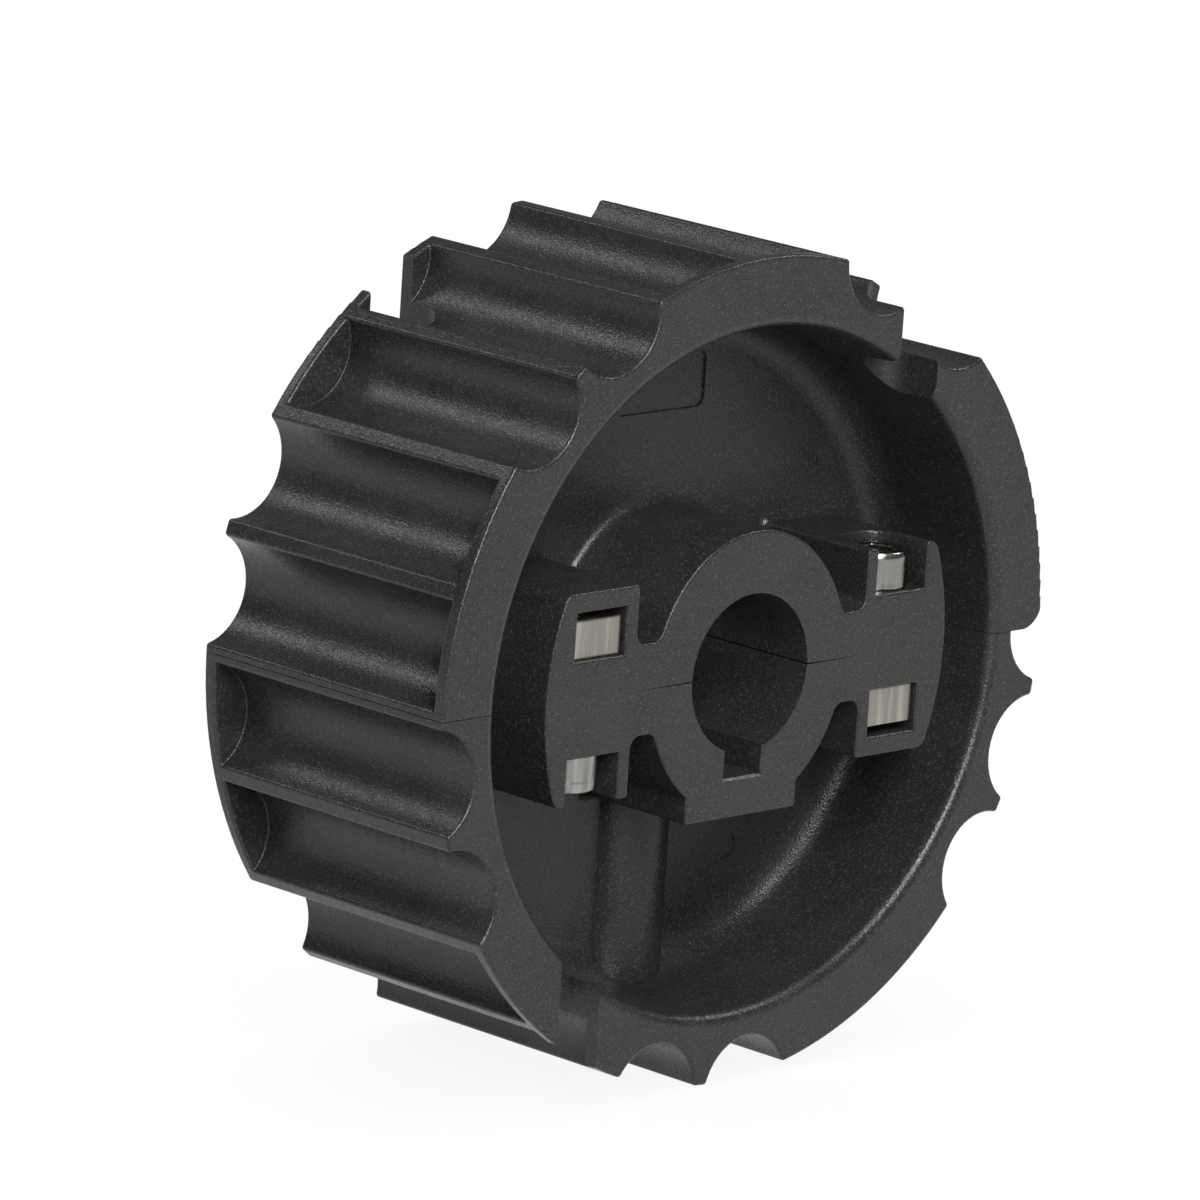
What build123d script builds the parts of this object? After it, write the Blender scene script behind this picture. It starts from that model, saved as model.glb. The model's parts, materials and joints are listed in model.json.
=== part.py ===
from build123d import *
import math
import os

os.makedirs("parts", exist_ok=True)

# Split drive sprocket for slat-top conveyor chain, with its clamping screws and nuts.
# Millimetres. The bore runs along Y, the front face looks towards -Y, and the two
# halves meet on the plane Z = 0. Origin: on the bore axis, mid-width.

# --- tooth ring -------------------------------------------------------------
TEETH = 21                  # the chain uses every second pocket, turn about
STEP = 360 / TEETH
TIP_R = 65.0
SEAT_R = 8.9                # round seat for the chain's hinge barrel
SEAT_CENTRE_R = 67.35
TIP_ROUND = 0.58            # rounding along the lands and around the rim's faces
RIM_W = 52.8
RIM_IN_R = 53.9             # inside of the rim at either face
RIM_ROOT_R = 53.0           # inside of the rim at the web, drafted for moulding
RIM_LIP_ROUND = 1.9
SEAT_FILLET = 0.3           # between a seat's floor and its end wall
END_WALL_T = 2.3            # wall that closes one end of a pocket
SPLIT_CORNER_R = 4.4        # rounded end of the wall beside the split pocket
FRONT_WALLED = (0, 1, 2, 5, 6, 9, 10)    # seats of the upper half walled at the front, from the right

# --- web --------------------------------------------------------------------
WEB_T = 6.0
RIM_FILLET = 5.5
HUB_FILLET = 1.8            # around the foot of the hub and ears
LABEL_W, LABEL_H = 19.2, 9.0
LABEL_Z = 41.0
LABEL_DEPTH = 0.4
PIN_MARK_R = 2.2
PIN_MARK_DEPTH = 0.2

# --- hub --------------------------------------------------------------------
BORE_R = 12.5
BORE_CHAMFER = 0.7
KEY_CHAMFER = 0.35          # around the keyway's mouths
BARREL_R = 19.0             # round core of the hub
HUB_HALF_W, HUB_HALF_H = 20.95, 22.35    # the hub is slightly taller than it is wide
HUB_L = 52.2
FACE_ROUND = 0.4            # rounding around the hub's and ears' end faces
KEY_W = 8.0
KEY_FLOOR = 16.3            # bore axis to keyway floor
BLOCK_W = 24.0              # squared-off foot of the lower hub, under the keyway
BLOCK_BOTTOM = 22.6
BOSS_R = 7.9                # radial stiffening boss between hub and rim
BOSS_FROM, BOSS_TO = 18.0, 54.0
RELIEF = 0.13               # each half's split face falls away towards the bore
RELIEF_END = 24.5
RIM_RELIEF = 0.06           # and the rim's split faces stand a little apart

# --- clamp ears -------------------------------------------------------------
EAR_R = 43.3                # outer ends are arcs about the bore
EAR_IN = 24.8
EAR_H = 16.6
NECK_H = 7.2                # half height of the neck that joins ear and hub
EAR_CORNER = 1.9
EAR_INNER_CORNER = 0.6
SLOT_CORNER = 1.95

# --- fasteners --------------------------------------------------------------
SCREW_X = 32.55
SCREW_Y = 20.2
HEAD_FLOOR = 9.2            # height of the seat under a screw head
HEAD_POCKET_W = 10.9
RIM_ROUND = 0.45            # rounding around the pockets and windows in the ears
NUT_LOW, NUT_HIGH = 6.0, 13.5
NUT_WINDOW_W = 10.45
NUT_WINDOW_END = 14.8       # depth of a nut window, as a distance from the mid-plane
HOLE_R = 3.3
HEAD_R, HEAD_H = 5.0, 6.0
HEX_AF, HEX_DEPTH = 5.0, 3.0
SHANK_R, SHANK_L = 2.98, 20.0
SEAT_GAP = 0.03
NUT_S, NUT_H = 10.0, 6.15
NUT_HOLE_R = 3.04

# --- access slots for the hex key -------------------------------------------
KEYSLOT_W = 8.5


def placed(sketch, y_front, length):
    """Extrude an X-Z sketch from the plane Y = y_front towards +Y."""
    return extrude(Plane.XZ.offset(-y_front) * sketch, amount=-length)


def through(sketch, width):
    """Extrude an X-Z sketch to the stated width, centred on the mid-plane."""
    return extrude(Plane.XZ * sketch, amount=width / 2, both=True)


def polar(r, deg):
    return (r * math.cos(math.radians(deg)), r * math.sin(math.radians(deg)))


def sector(r0, r1, a0, a1):
    """Ring sector between two radii and two angles, as a sketch."""
    am = (a0 + a1) / 2
    edge = [
        ThreePointArc(polar(r1, a0), polar(r1, am), polar(r1, a1)),
        Line(polar(r1, a1), polar(r0, a1)),
        ThreePointArc(polar(r0, a1), polar(r0, am), polar(r0, a0)),
        Line(polar(r0, a0), polar(r1, a0)),
    ]
    return make_face(edge)


def near(items, *points, tol=0.05):
    """Pick the vertices that lie on the given X-Z or R-Y points."""
    out = []
    for v in items:
        for p in points:
            if abs(v.X - p[0]) < tol and abs(v.Y - p[1]) < tol:
                out.append(v)
    return out


def end_edges(body, y):
    """Edges that lie in either of the planes Y = y and Y = -y."""
    out = []
    for edge in body.edges():
        box = edge.bounding_box()
        if box.max.Y - box.min.Y < 0.01 and abs(abs(box.min.Y) - y) < 0.01:
            out.append(edge)
    return out


def turned_body():
    """Hub barrel, web and rim, revolved about the bore axis."""
    hl, wt, rw = HUB_L / 2, WEB_T / 2, RIM_W / 2
    side = [(BORE_R, hl), (BARREL_R, hl), (BARREL_R, wt), (RIM_ROOT_R, wt), (RIM_IN_R, rw), (TIP_R + 3, rw)]
    other = [(r, -y) for r, y in reversed(side)]
    section = make_face(Polyline(*side, *other, close=True))
    for y in (1, -1):
        section = fillet(near(section.vertices(), (RIM_ROOT_R, y * wt)), RIM_FILLET)
        section = fillet(near(section.vertices(), (RIM_IN_R, y * rw)), RIM_LIP_ROUND)
        section = chamfer(near(section.vertices(), (BORE_R, y * hl)), BORE_CHAMFER)
    return revolve(section, axis=Axis.Y)


def hub_plan(with_foot):
    """Hub barrel with its two clamp ears and perhaps a squared foot, seen along the bore."""
    plan = Sketch() + Ellipse(HUB_HALF_W, HUB_HALF_H)
    if with_foot:
        foot = Pos(0, BLOCK_BOTTOM - 7) * Rectangle(BLOCK_W, 14)
        plan += fillet(near(foot.vertices(), (BLOCK_W / 2, BLOCK_BOTTOM), (-BLOCK_W / 2, BLOCK_BOTTOM)), 0.6)
    for s in (1, -1):
        mid = s * (EAR_IN + EAR_R) / 2
        ear = Circle(EAR_R) & (Pos(mid, 0) * Rectangle(EAR_R - EAR_IN, 2 * EAR_H))
        corner = math.sqrt(EAR_R ** 2 - EAR_H ** 2)
        ear = fillet(near(ear.vertices(), (s * corner, EAR_H), (s * corner, -EAR_H)), EAR_CORNER)
        plan += ear
        plan += Pos(s * 20, 0) * Rectangle(16, 2 * NECK_H)
    root = HUB_HALF_W * math.sqrt(1 - (NECK_H / HUB_HALF_H) ** 2)
    for s in (1, -1):
        for t in (1, -1):
            plan = fillet(near(plan.vertices(), (s * EAR_IN, t * NECK_H)), SLOT_CORNER)
            plan = fillet(near(plan.vertices(), (s * root, t * NECK_H)), SLOT_CORNER)
            plan = fillet(near(plan.vertices(), (s * EAR_IN, t * EAR_H)), EAR_INNER_CORNER)
    return plan - Circle(BORE_R)


def seat(k, front_walled):
    """Round chain seat k as a cutter: open at one face, walled with a filleted corner at the other."""
    half_w = RIM_W / 2
    y0 = -half_w + END_WALL_T if front_walled else -half_w - 2
    y1 = half_w + 2 if front_walled else half_w - END_WALL_T
    cutter = placed(Circle(SEAT_R), y0, y1 - y0)
    rims = cutter.edges().filter_by(GeomType.CIRCLE).sort_by(Axis.Y)
    cutter = fillet(rims[0] if front_walled else rims[-1], SEAT_FILLET)
    x, z = polar(SEAT_CENTRE_R, k * STEP)
    return Pos(x, 0, z) * cutter


def tooth_ring():
    """Disc with the upper half's seats, walled in pairs, turn about, and with its edges rounded."""
    ring = through(Circle(TIP_R), RIM_W)
    for k in range(TEETH // 2 + 1):
        ring -= seat(k, k in FRONT_WALLED)
    rounded = end_edges(ring, RIM_W / 2)
    for edge in ring.edges():
        spots = [edge.position_at(u) for u in (0, 0.5, 1)]
        on_tip = all(abs(math.hypot(p.X, p.Z) - TIP_R) < 0.01 for p in spots)
        seam = abs(spots[1].Z) < 0.01
        if on_tip and not seam and not any(edge.is_same(e) for e in rounded):
            rounded.append(edge)
    return fillet(rounded, TIP_ROUND)


def split_corner():
    """What the rounded end of the wall beside the split seat leaves away, at the front."""
    wedge = sector(TIP_R - 12, TIP_R + 4, -8, 8)
    keep = Circle(TIP_R) & (Pos(TIP_R - 10, 10) * Rectangle(40, 20))
    keep = fillet(near(keep.vertices(), (TIP_R, 0)), SPLIT_CORNER_R)
    return placed(wedge - keep, -RIM_W / 2 - 1, 1 + END_WALL_T)


def toward_face(x, y, width, z0, z1, round_end):
    """Vertical slot at (x, y) that opens through the nearer face of the sprocket."""
    s = 1 if y > 0 else -1
    far = s * (RIM_W / 2 + 2)
    plan = Pos(x, (y + far) / 2) * Rectangle(width, abs(far - y))
    if round_end:
        plan += Pos(x, y) * Circle(width / 2)
    return extrude(Plane.XY.offset(z0) * plan, amount=z1 - z0)


def moulded_half(keyed):
    """One half, built with Z >= 0. The keyed half also has the keyway, foot and radial boss."""
    body = turned_body() & tooth_ring()
    if keyed:
        body += Pos(0, 0, (BOSS_FROM + BOSS_TO) / 2) * Cylinder(BOSS_R, BOSS_TO - BOSS_FROM)
    hub = through(hub_plan(keyed), HUB_L)
    outline = [e for e in end_edges(hub, HUB_L / 2) if abs(e.length - 2 * math.pi * BORE_R) > 0.1]
    body += fillet(outline, FACE_ROUND)
    feet = []
    for edge in end_edges(body, WEB_T / 2):
        at = edge.center()
        beside_boss = keyed and abs(at.X) < BOSS_R and at.Z > BLOCK_BOTTOM + 0.1
        if math.hypot(at.X, at.Z) < EAR_R + 1 and not beside_boss:
            feet.append(edge)
    body = fillet(feet, HUB_FILLET)
    span = 2 * TIP_R + 10
    body &= Pos(0, 0, span / 2) * Box(span, span, span)
    body -= split_corner()
    # Hex key slots through the rim, over the two screw heads.
    for s in (1, -1):
        body -= toward_face(s * SCREW_X, -s * SCREW_Y, KEYSLOT_W, 30, TIP_R + 5, True)
    # Screw head pockets with a round back, front right and back left.
    for s in (1, -1):
        body -= toward_face(s * SCREW_X, -s * SCREW_Y, HEAD_POCKET_W, HEAD_FLOOR, 28, True)
    # Square nut windows, front left and back right.
    for s in (1, -1):
        depth = RIM_W / 2 + 2 - NUT_WINDOW_END
        window = Box(NUT_WINDOW_W, depth, NUT_HIGH - NUT_LOW)
        body -= Pos(-s * SCREW_X, -s * (NUT_WINDOW_END + depth / 2), (NUT_HIGH + NUT_LOW) / 2) * window
    body = fillet(ear_rims(body), RIM_ROUND)
    # Screw clearance holes through both ears, near each end.
    for x in (1, -1):
        for y in (1, -1):
            body -= Pos(x * SCREW_X, y * SCREW_Y, 4.5) * Cylinder(HOLE_R, 11)
    # Split faces relieved beside the bore and across the rim, so that the halves bear on the ears.
    for s in (1, -1):
        body -= Pos(s * TIP_R, 0, 0) * Box(2 * (TIP_R - EAR_R - 2), RIM_W + 2, 2 * RIM_RELIEF)
        wedge = make_face(Polyline((s * (BORE_R - 1), -0.5), (s * (BORE_R - 1), RELIEF),
                                   (s * RELIEF_END, 0), (s * RELIEF_END, -0.5), close=True))
        body -= through(wedge, HUB_L + 2)
    if keyed:
        body -= through(Pos(0, KEY_FLOOR / 2) * Rectangle(KEY_W, KEY_FLOOR), HUB_L + 2)
        mouths = []
        for edge in end_edges(body, HUB_L / 2):
            at = edge.center()
            if abs(at.X) < KEY_W / 2 + 0.01 and BORE_R - 1 < at.Z < KEY_FLOOR + 0.01:
                mouths.append(edge)
        body = chamfer(mouths, KEY_CHAMFER)
    return body


def ear_rims(body):
    """Edges around the head pockets' tops, and around the pockets and windows in the end faces."""
    out = []
    half_w = HEAD_POCKET_W / 2
    for edge in body.edges():
        box = edge.bounding_box()
        at = edge.center()
        beside = abs(abs(at.X) - SCREW_X) < half_w + 0.1
        level = box.max.Z - box.min.Z < 0.01 and abs(at.Z - EAR_H) < 0.01
        top = level and SCREW_Y - half_w - 1 < abs(at.Y) < HUB_L / 2 - 0.6
        in_face = box.max.Y - box.min.Y < 0.01 and abs(abs(at.Y) - HUB_L / 2) < 0.01
        face = in_face and NUT_LOW - 0.1 < at.Z < NUT_HIGH + 0.1
        if beside and (top or face):
            out.append(edge)
    return out


def pin_mark(x, z):
    """Ejector pin mark: a shallow round dimple in the web's front side."""
    return placed(Pos(x, z) * Circle(PIN_MARK_R), -WEB_T / 2 - 1, 1 + PIN_MARK_DEPTH)


# --- upper half ---
upper_half = moulded_half(keyed=False)
label = fillet(Rectangle(LABEL_W, LABEL_H).vertices(), 1.6)
upper_half -= placed(Pos(0, LABEL_Z) * label, -WEB_T / 2 - 1, 1 + LABEL_DEPTH)
upper_half -= pin_mark(33.9, 24.7)

# --- lower half: the same moulding turned half a turn about X ---
lower_half = Rot(180, 0, 0) * moulded_half(keyed=True)
lower_half -= pin_mark(21.0, -35.1)


def cap_screw(x, y, up):
    """M6 x 20 socket-head cap screw, head up, turned over for the lower half."""
    head = Pos(0, 0, HEAD_H / 2) * Cylinder(HEAD_R, HEAD_H)
    head = chamfer(head.edges().group_by(Axis.Z)[-1], 0.5)
    shank = Pos(0, 0, -SHANK_L / 2) * Cylinder(SHANK_R, SHANK_L)
    shank = chamfer(shank.edges().group_by(Axis.Z)[0], 0.6)
    hexagon = RegularPolygon(HEX_AF / math.sqrt(3), 6)
    socket = extrude(Plane.XY.offset(HEAD_H - HEX_DEPTH) * hexagon, amount=HEX_DEPTH + 1)
    screw = Pos(0, 0, HEAD_FLOOR + SEAT_GAP) * (head + shank - socket)
    return Pos(x, y, 0) * (screw if up else Rot(180, 0, 0) * screw)


def square_nut(x, y, up):
    """M6 square nut, plain on both faces, against the window's inner side."""
    nut = Box(NUT_S, NUT_S, NUT_H) - Cylinder(NUT_HOLE_R, NUT_H + 1)
    nut = Pos(0, 0, NUT_LOW + NUT_H / 2) * nut
    return Pos(x, y, 0) * (nut if up else Rot(180, 0, 0) * nut)


parts = {"upper_half": upper_half, "lower_half": lower_half}
for end, y in (("front", -SCREW_Y), ("back", SCREW_Y)):
    for side, x in (("right", SCREW_X), ("left", -SCREW_X)):
        head_up = x * y < 0
        parts["cap_screw_%s_%s" % (end, side)] = cap_screw(x, y, head_up)
        parts["square_nut_%s_%s" % (end, side)] = square_nut(x, y, not head_up)

for name, shape in parts.items():
    export_step(shape, "parts/%s.step" % name)
    print(name, "volume %.1f mm3" % shape.volume, "solids", len(shape.solids()))
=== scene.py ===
"""Looks of the split chain sprocket: moulded black nylon halves, steel cap screws and square nuts."""

import json
import math

import bmesh
import bpy
from mathutils import Matrix, Vector


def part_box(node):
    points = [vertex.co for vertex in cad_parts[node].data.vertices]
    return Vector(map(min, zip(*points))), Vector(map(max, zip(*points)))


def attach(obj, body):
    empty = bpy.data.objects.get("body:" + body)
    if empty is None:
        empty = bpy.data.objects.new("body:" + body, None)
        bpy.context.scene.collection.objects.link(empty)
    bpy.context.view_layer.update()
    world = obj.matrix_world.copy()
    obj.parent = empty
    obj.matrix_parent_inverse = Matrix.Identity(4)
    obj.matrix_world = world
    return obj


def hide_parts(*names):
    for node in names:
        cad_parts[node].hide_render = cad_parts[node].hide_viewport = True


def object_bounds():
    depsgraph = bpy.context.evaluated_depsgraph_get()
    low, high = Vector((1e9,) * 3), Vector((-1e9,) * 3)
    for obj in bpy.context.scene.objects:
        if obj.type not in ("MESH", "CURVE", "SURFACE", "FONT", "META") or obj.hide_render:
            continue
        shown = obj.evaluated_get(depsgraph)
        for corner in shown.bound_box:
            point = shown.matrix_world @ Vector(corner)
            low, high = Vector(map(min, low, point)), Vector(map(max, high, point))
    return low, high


MM = 0.001

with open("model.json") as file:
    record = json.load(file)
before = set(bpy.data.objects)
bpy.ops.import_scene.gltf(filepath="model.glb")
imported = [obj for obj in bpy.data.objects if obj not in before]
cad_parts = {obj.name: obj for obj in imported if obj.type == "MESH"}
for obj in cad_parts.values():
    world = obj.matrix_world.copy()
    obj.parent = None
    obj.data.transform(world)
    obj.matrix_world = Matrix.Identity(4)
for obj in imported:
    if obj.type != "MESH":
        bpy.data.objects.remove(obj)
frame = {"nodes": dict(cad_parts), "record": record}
cad_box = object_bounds()
nodes = frame["nodes"]
node_body = {n: b for b, members in frame["record"]["behaviour"]["bodies"].items() for n in members}


# ---------------------------------------------------------------- node helpers
def new_material(name):
    mat = bpy.data.materials.new(name)
    mat.use_nodes = True
    tree = mat.node_tree
    return mat, tree, tree.nodes["Principled BSDF"]


def add(tree, kind, links=()):
    """A shader node, linked from (socket, input name) pairs."""
    node = tree.nodes.new(kind)
    for socket, name in links:
        tree.links.new(socket, node.inputs[name])
    return node


def object_coordinates(tree, stretch=(1, 1, 1)):
    """The piece's own coordinates, scaled along each axis."""
    coords = add(tree, "ShaderNodeTexCoord")
    mapping = add(tree, "ShaderNodeMapping", [(coords.outputs["Object"], "Vector")])
    mapping.inputs["Scale"].default_value = stretch
    return mapping.outputs["Vector"]


def noise(tree, vector, cell, detail=3.0, rough=0.5):
    """Noise whose cells are about the stated size, in metres."""
    node = add(tree, "ShaderNodeTexNoise", [(vector, "Vector")])
    node.inputs["Scale"].default_value = 1.0 / cell
    node.inputs["Detail"].default_value = detail
    node.inputs["Roughness"].default_value = rough
    return node.outputs["Fac"]


def ramp(tree, value, *stops):
    """Colour ramp from (position, grey or colour) stops."""
    node = add(tree, "ShaderNodeValToRGB", [(value, "Fac")])
    elements = node.color_ramp.elements
    while len(elements) < len(stops):
        elements.new(0.5)
    for element, (position, colour) in zip(elements, stops):
        element.position = position
        if not isinstance(colour, tuple):
            colour = (colour, colour, colour)
        element.color = (*colour, 1)
    return node.outputs["Color"]


def mix(tree, factor, a, b):
    """Blend from a to b by a factor; each is a socket or a value."""
    node = tree.nodes.new("ShaderNodeMix")
    node.data_type = "RGBA"
    sockets = {s.identifier: s for s in node.inputs}
    for value, name in ((factor, "Factor_Float"), (a, "A_Color"), (b, "B_Color")):
        if isinstance(value, bpy.types.NodeSocket):
            tree.links.new(value, sockets[name])
        elif name == "Factor_Float":
            sockets[name].default_value = value
        else:
            sockets[name].default_value = (*value, 1)
    return next(s for s in node.outputs if s.identifier == "Result_Color")


def bump(tree, height, strength, distance, normal=None):
    """Bumps from a height, with a distance in metres, on top of an earlier normal if one is given."""
    node = add(tree, "ShaderNodeBump", [(height, "Height")])
    node.inputs["Strength"].default_value = strength
    node.inputs["Distance"].default_value = distance
    if normal is not None:
        tree.links.new(normal, node.inputs["Normal"])
    return node.outputs["Normal"]


# ---------------------------------------------------------------- materials
NYLON_DARK, NYLON_PALE = (0.0118, 0.0112, 0.0110), (0.0168, 0.0161, 0.0157)
NYLON_FLECK = (0.042, 0.0408, 0.0393)
NYLON_SHINY, NYLON_DULL = 0.18, 0.40
NYLON_IOR = 1.37            # below real nylon's 1.5, so that the white floor shows less in it
CLOUD_CELL, PATCH_CELL, PIT_CELL, GRAIN_CELL = 11 * MM, 2.4 * MM, 0.95 * MM, 0.42 * MM
GRAIN_BUMP, PIT_BUMP = (1.0, 0.09 * MM), (0.3, 0.07 * MM)       # strength and distance
LINE_CELL, BAND_CELL, LINE_BUMP = 0.30 * MM, 1.7 * MM, 0.25
STEEL_DARK, STEEL_PALE = 0.72, 1.35                             # factors on a steel's tint


def nylon(name):
    """Glass-filled black nylon: spark-eroded mould grain, a few glass flecks and a patchy sheen."""
    mat, tree, shader = new_material(name)
    at = object_coordinates(tree)
    cloud = noise(tree, at, CLOUD_CELL, 4, 0.6)
    patch = noise(tree, at, PATCH_CELL, 4, 0.65)
    grain = noise(tree, at, GRAIN_CELL, 2, 0.6)
    pits = noise(tree, at, PIT_CELL, 3, 0.7)
    base = ramp(tree, cloud, (0.3, NYLON_DARK), (0.7, NYLON_PALE))
    base = mix(tree, ramp(tree, grain, (0.54, 0.0), (0.72, 1.0)), base, NYLON_FLECK)
    tree.links.new(base, shader.inputs["Base Color"])
    patchy = ramp(tree, patch, (0.3, 0.0), (0.7, 1.0))
    cloudy = ramp(tree, cloud, (0.35, 0.0), (0.65, 1.0))
    pitted = ramp(tree, pits, (0.35, 0.0), (0.65, 1.0))
    sheen = mix(tree, 0.35, mix(tree, 0.5, patchy, cloudy), pitted)
    roughness = ramp(tree, sheen, (0.1, NYLON_SHINY), (0.9, NYLON_DULL))
    tree.links.new(roughness, shader.inputs["Roughness"])
    shader.inputs["IOR"].default_value = NYLON_IOR
    normal = bump(tree, grain, *GRAIN_BUMP)
    normal = bump(tree, pits, *PIT_BUMP, normal)
    tree.links.new(normal, shader.inputs["Normal"])
    return mat


def steel(name, tint, low, high, stretch, streak_depth):
    """Stainless steel, from low to high roughness, with fine and broad streaks along the piece's Z axis."""
    mat, tree, shader = new_material(name)
    lines = noise(tree, object_coordinates(tree, stretch), LINE_CELL, 5, 0.7)
    bands = noise(tree, object_coordinates(tree, stretch), BAND_CELL, 2, 0.5)
    dark, pale = (tuple(min(1.0, k * c) for c in tint) for k in (STEEL_DARK, STEEL_PALE))
    base = mix(tree, ramp(tree, lines, (0.30, 0.0), (0.62, 1.0)), dark, tint)
    base = mix(tree, ramp(tree, bands, (0.50, 0.0), (0.66, 0.8)), base, pale)
    tree.links.new(base, shader.inputs["Base Color"])
    tree.links.new(ramp(tree, bands, (0.25, high), (0.75, low)), shader.inputs["Roughness"])
    shader.inputs["Metallic"].default_value = 1.0
    tree.links.new(bump(tree, lines, LINE_BUMP, streak_depth), shader.inputs["Normal"])
    return mat


body_nylon = nylon("nylon_black")
screw_steel = steel("screw_steel", (0.27, 0.265, 0.25), 0.12, 0.30, (1, 1, 0.06), 0.03 * MM)
nut_steel = steel("nut_steel", (0.315, 0.293, 0.255), 0.28, 0.42, (1, 1, 0.05), 0.02 * MM)

# ---------------------------------------------------------------- moulded halves
for name in ("upper_half", "lower_half"):
    half = nodes[name]
    half.data.materials.clear()
    half.data.materials.append(body_nylon)


# ---------------------------------------------------------------- fasteners
def lathe(name, rings, closed_ends=True):
    """Loft rings of equally many (x, y, z) points in mm, in order. Open ends join up, as around a hole."""
    mesh = bmesh.new()
    rows = [[mesh.verts.new(Vector(p) * MM) for p in ring] for ring in rings]
    count = len(rows[0])
    for a, b in zip(rows, rows[1:]):
        for i in range(count):
            j = (i + 1) % count
            mesh.faces.new((a[i], a[j], b[j], b[i]))
    if closed_ends:
        mesh.faces.new(rows[0][::-1])
        mesh.faces.new(rows[-1])
    else:
        for i in range(count):
            j = (i + 1) % count
            mesh.faces.new((rows[-1][i], rows[-1][j], rows[0][j], rows[0][i]))
    bmesh.ops.recalc_face_normals(mesh, faces=mesh.faces)
    data = bpy.data.meshes.new(name)
    mesh.to_mesh(data)
    mesh.free()
    for face in data.polygons:
        face.use_smooth = True
    piece = bpy.data.objects.new(name, data)
    bpy.context.scene.collection.objects.link(piece)
    return piece


def ring(radius, z, count):
    """One ring at height z; the radius is a number or a function of the angle."""
    points = []
    for i in range(count):
        turn = 2 * math.pi * i / count
        r = radius(turn) if callable(radius) else radius
        points.append((r * math.cos(turn), r * math.sin(turn), z))
    return points


def flat_sided(across_flats, sides):
    """Radius of a regular polygon as a function of the angle."""
    part = 2 * math.pi / sides
    return lambda turn: across_flats / 2 / math.cos((turn % part) - part / 2)


CREST, FLANK = 0.12, 0.76       # shares of half a pitch


def thread_radius(major, depth, pitch, z):
    """Radius at height z of a helical V thread with a flat crest."""
    def radius(turn):
        phase = (z / pitch - turn / (2 * math.pi)) % 1.0
        v = abs(2 * phase - 1)
        return major - depth * max(0.0, min(1.0, (v - CREST) / FLANK))
    return radius


def rings_of(profile, count):
    """Rings from (radius, z) pairs."""
    return [ring(radius, z, count) for radius, z in profile]


# Profiles are in mm. A screw's seat is at z = 0, with its head above and its shank below.
HEX_AF, HEAD_H, SHANK_R, SHANK_L = 5.0, 6.0, 2.98, 20.0
PITCH, THREAD_DEPTH, THREAD_START = 1.0, 0.61, -2.0
SCREW_COUNT, NUT_COUNT = 144, 160      # points around each ring
SCREW_STEPS, NUT_STEPS = 10, 8          # thread rings in one pitch
SCREW_THREAD_END, NUT_THREAD_END = 0.7, 0.5     # from the shank's end, and from the nut's faces
SOCKET_FLOOR, SOCKET_HEIGHTS = ((0.02, 2.3), (0.98, 3.0)), (3.05, 3.6, 4.6, 5.55, 5.72)
SOCKET_EDGE, SOCKET_LIP, SOCKET_LIP_R = (0.22, 5.93), (0.3, 5.97), 3.25
KNURL_R, KNURL_TEETH = 4.985, 72
HEAD_CROWN = ((3.9, 5.98), (4.3, 5.98), (4.45, 5.95), (4.66, 5.80), (4.84, 5.52), (4.93, 5.28), (4.98, 4.98))
KNURL = ((0.01, 4.3), (0.1, 4.1), (0.12, 3.6), (0.12, 2.6), (0.12, 1.5), (0.08, 0.7), (0.01, 0.5))
HEAD_FOOT = ((4.98, 0.3), (4.97, 0.12), (4.93, 0.04), (4.85, 0.0), (4.4, 0.0), (3.7, 0.0))
NECK = ((3.3, -0.02), (3.12, -0.12), (3.0, -0.4), (2.97, -0.7), (2.95, -1.2), (2.95, -1.9))
TIP_R, TIP = 2.7, ((2.3, 0.04), (2.1, 0.01), (0.02, 0.01))       # heights above the shank's end
NUT_S, NUT_HOLE_R, NUT_THREAD_DEPTH = 10.0, 3.04, 0.46
NUT_CORNER_R = 0.697 * NUT_S
NUT_EDGE = ((0.6, 0.0), (0.2, 0.0), (0.06, 0.05), (0.0, 0.18), (0.0, 0.5))    # insets, by depth
COUNTERSINK_R, HOLE_MOUTH_R = 4.2, 3.6


def knurled(depth):
    """Radius of the head's knurled side as a function of the angle."""
    return lambda turn: KNURL_R - depth * (0.5 - 0.5 * math.cos(turn * KNURL_TEETH))


def cap_screw(name):
    """Socket-head cap screw: hex socket, head with a lightly knurled side, and a real thread."""
    hexagon = flat_sided(HEX_AF, 6)
    (point, point_z), (shrink, floor_z) = SOCKET_FLOOR
    (edge, edge_z), (lip, lip_z) = SOCKET_EDGE, SOCKET_LIP
    rings = rings_of(((point, point_z), (lambda turn: hexagon(turn) * shrink, floor_z)), SCREW_COUNT)
    rings += rings_of([(hexagon, z) for z in SOCKET_HEIGHTS], SCREW_COUNT)
    rings.append(ring(lambda turn: hexagon(turn) + edge, edge_z, SCREW_COUNT))
    rings.append(ring(lambda turn: max(hexagon(turn) + lip, SOCKET_LIP_R), lip_z, SCREW_COUNT))
    rings += rings_of(HEAD_CROWN, SCREW_COUNT)
    rings += rings_of([(knurled(depth), z) for depth, z in KNURL], SCREW_COUNT)
    rings += rings_of(HEAD_FOOT + NECK, SCREW_COUNT)
    z = THREAD_START
    while z > -SHANK_L + SCREW_THREAD_END:
        depth = THREAD_DEPTH * min(1.0, (THREAD_START - z) / PITCH)
        rings.append(ring(thread_radius(SHANK_R - 0.01, depth, PITCH, z), z, SCREW_COUNT))
        z -= PITCH / SCREW_STEPS
    last_turn = thread_radius(SHANK_R, THREAD_DEPTH, PITCH, -SHANK_L + 0.6)
    rings.append(ring(lambda turn: min(last_turn(turn), TIP_R), -SHANK_L + 0.35, SCREW_COUNT))
    rings += rings_of([(radius, -SHANK_L + z) for radius, z in TIP], SCREW_COUNT)
    return lathe(name, rings)


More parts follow.
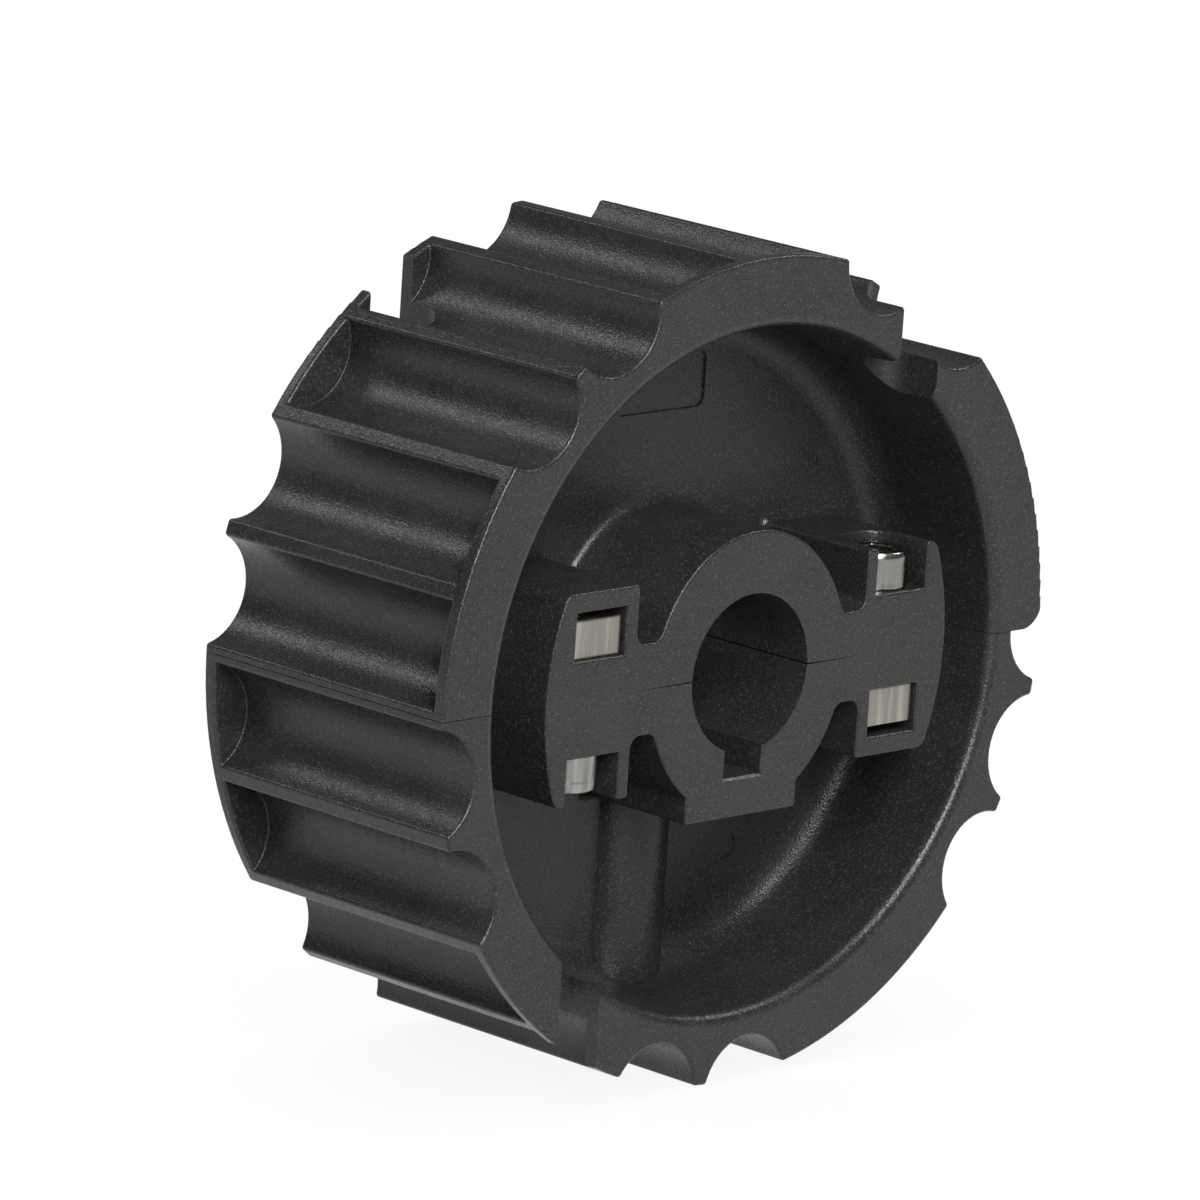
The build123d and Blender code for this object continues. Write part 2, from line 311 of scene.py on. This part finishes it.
def square_nut(name, height):
    """Plain square nut from z = 0 up, with slightly broken edges and a threaded hole."""
    side = flat_sided(NUT_S, 4)

    def outline(inset):
        return lambda turn: min(side(turn + math.pi / 4), NUT_CORNER_R) - inset
    rings = rings_of([(outline(inset), z) for inset, z in NUT_EDGE], NUT_COUNT)
    rings += rings_of([(outline(inset), height - z) for inset, z in reversed(NUT_EDGE)], NUT_COUNT)
    rings += rings_of(((COUNTERSINK_R, height), (HOLE_MOUTH_R, height - 0.02)), NUT_COUNT)
    z = height - NUT_THREAD_END
    while z > NUT_THREAD_END:
        rings.append(ring(thread_radius(NUT_HOLE_R + 0.5, NUT_THREAD_DEPTH, PITCH, z), z, NUT_COUNT))
        z -= PITCH / NUT_STEPS
    rings += rings_of(((HOLE_MOUTH_R, 0.02), (COUNTERSINK_R, 0.0)), NUT_COUNT)
    return lathe(name, rings, closed_ends=False)


for name in nodes:
    is_screw = name.startswith("cap_screw")
    if not is_screw and not name.startswith("square_nut"):
        continue
    low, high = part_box(name)
    middle = (low + high) / 2
    if is_screw:
        piece = cap_screw("fine_" + name)
        upright = high.z > -low.z
        seat = high.z - HEAD_H * MM if upright else low.z + HEAD_H * MM
    else:
        piece = square_nut("fine_" + name, (high.z - low.z) / MM)
        upright = middle.z > 0
        seat = low.z if upright else high.z
    turn = Matrix.Identity(4) if upright else Matrix.Rotation(math.pi, 4, "X")
    piece.matrix_world = Matrix.Translation((middle.x, middle.y, seat)) @ turn
    piece.data.materials.append(screw_steel if is_screw else nut_steel)
    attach(piece, node_body[name])
    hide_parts(name)

# ---------------------------------------------------------------- stage
FLOOR_DROP, FLOOR_REACH = 0.1 * MM, 6.0
FLOOR_WHITE, FLOOR_ROUGHNESS = (0.93, 0.93, 0.93, 1), 0.9
AMBIENT = 0.16
SWEEP_ENERGY = 3.05

floor_mesh = bpy.data.meshes.new("floor")
floor_z = cad_box[0][2] - FLOOR_DROP
corners = [(x * FLOOR_REACH, y * FLOOR_REACH, floor_z) for x, y in ((-1, -1), (1, -1), (1, 1), (-1, 1))]
floor_mesh.from_pydata(corners, [], [(0, 1, 2, 3)])
floor = bpy.data.objects.new("floor", floor_mesh)
bpy.context.scene.collection.objects.link(floor)
floor_mat, floor_tree, floor_shader = new_material("floor_pale")
floor_shader.inputs["Base Color"].default_value = FLOOR_WHITE
floor_shader.inputs["Roughness"].default_value = FLOOR_ROUGHNESS
floor_mesh.materials.append(floor_mat)

world = bpy.data.worlds.new("studio")
world.use_nodes = True
background = world.node_tree.nodes["Background"]
background.inputs["Color"].default_value = (1.0, 1.0, 1.0, 1)
background.inputs["Strength"].default_value = AMBIENT
bpy.context.scene.world = world


def lit_by(lamp, state):
    """Limit a lamp to the floor alone, or to everything else."""
    group = bpy.data.collections.new(lamp.name + "_reach")
    group.objects.link(floor)
    group.collection_objects[0].light_linking.link_state = state
    lamp.light_linking.receiver_collection = group


def softbox(name, place, width, height, power):
    """Upright area light at a place in metres, turned towards the sprocket. It doesn't reach the floor."""
    light = bpy.data.lights.new(name, "AREA")
    light.shape = "RECTANGLE"
    light.size = width
    light.size_y = height
    light.energy = power
    lamp = bpy.data.objects.new(name, light)
    lamp.location = place
    lamp.rotation_euler = (-Vector(place)).to_track_quat("-Z", "Y").to_euler()
    bpy.context.scene.collection.objects.link(lamp)
    lit_by(lamp, "EXCLUDE")


softbox("camera_side", (-0.72, -1.06, 0.72), 0.20, 0.95, 28.0)
softbox("key_front", (-0.26, -0.84, 1.04), 0.24, 0.30, 9.0)
softbox("top_middle", (0.0, -0.40, 1.22), 0.30, 0.30, 2.4)
softbox("top_right", (0.90, -0.30, 0.90), 0.26, 0.26, 4.0)
softbox("back_top", (-0.45, 0.95, 0.85), 0.30, 0.30, 2.4)

# The sweep's own light keeps the floor an even white without lighting the sprocket.
sweep = bpy.data.lights.new("sweep", "SUN")
sweep.energy = SWEEP_ENERGY
sweep.use_shadow = False
sweep_lamp = bpy.data.objects.new("sweep", sweep)
bpy.context.scene.collection.objects.link(sweep_lamp)
lit_by(sweep_lamp, "INCLUDE")

bpy.context.scene.view_settings.view_transform = "Standard"

# ---------------------------------------------------------------- camera
CAM_AZIMUTH, CAM_ELEVATION, CAM_ROLL = (math.radians(a) for a in (-45.108, 12.584, 3.725))
CAM_DISTANCE = 1.41239
CAM_TARGET = Vector((-0.007255, 0.0, 0.006941))
SENSOR, LENS = 36.0, 274.73
CLIP_NEAR, CLIP_FAR = 0.05, 30

camera_data = bpy.data.cameras.new("camera")
camera_data.sensor_width = SENSOR
camera_data.lens = LENS
camera_data.clip_start = CLIP_NEAR
camera_data.clip_end = CLIP_FAR
camera = bpy.data.objects.new("camera", camera_data)
bpy.context.scene.collection.objects.link(camera)
level_back = Vector((math.sin(CAM_AZIMUTH), -math.cos(CAM_AZIMUTH), 0))
back = level_back * math.cos(CAM_ELEVATION) + Vector((0, 0, math.sin(CAM_ELEVATION)))
level_right = Vector((math.cos(CAM_AZIMUTH), math.sin(CAM_AZIMUTH), 0))
level_up = back.cross(level_right)
right = level_right * math.cos(CAM_ROLL) + level_up * math.sin(CAM_ROLL)
up = back.cross(right)
turn = Matrix((right, up, back)).transposed().to_4x4()
camera.matrix_world = Matrix.Translation(CAM_TARGET + back * CAM_DISTANCE) @ turn
bpy.context.scene.camera = camera
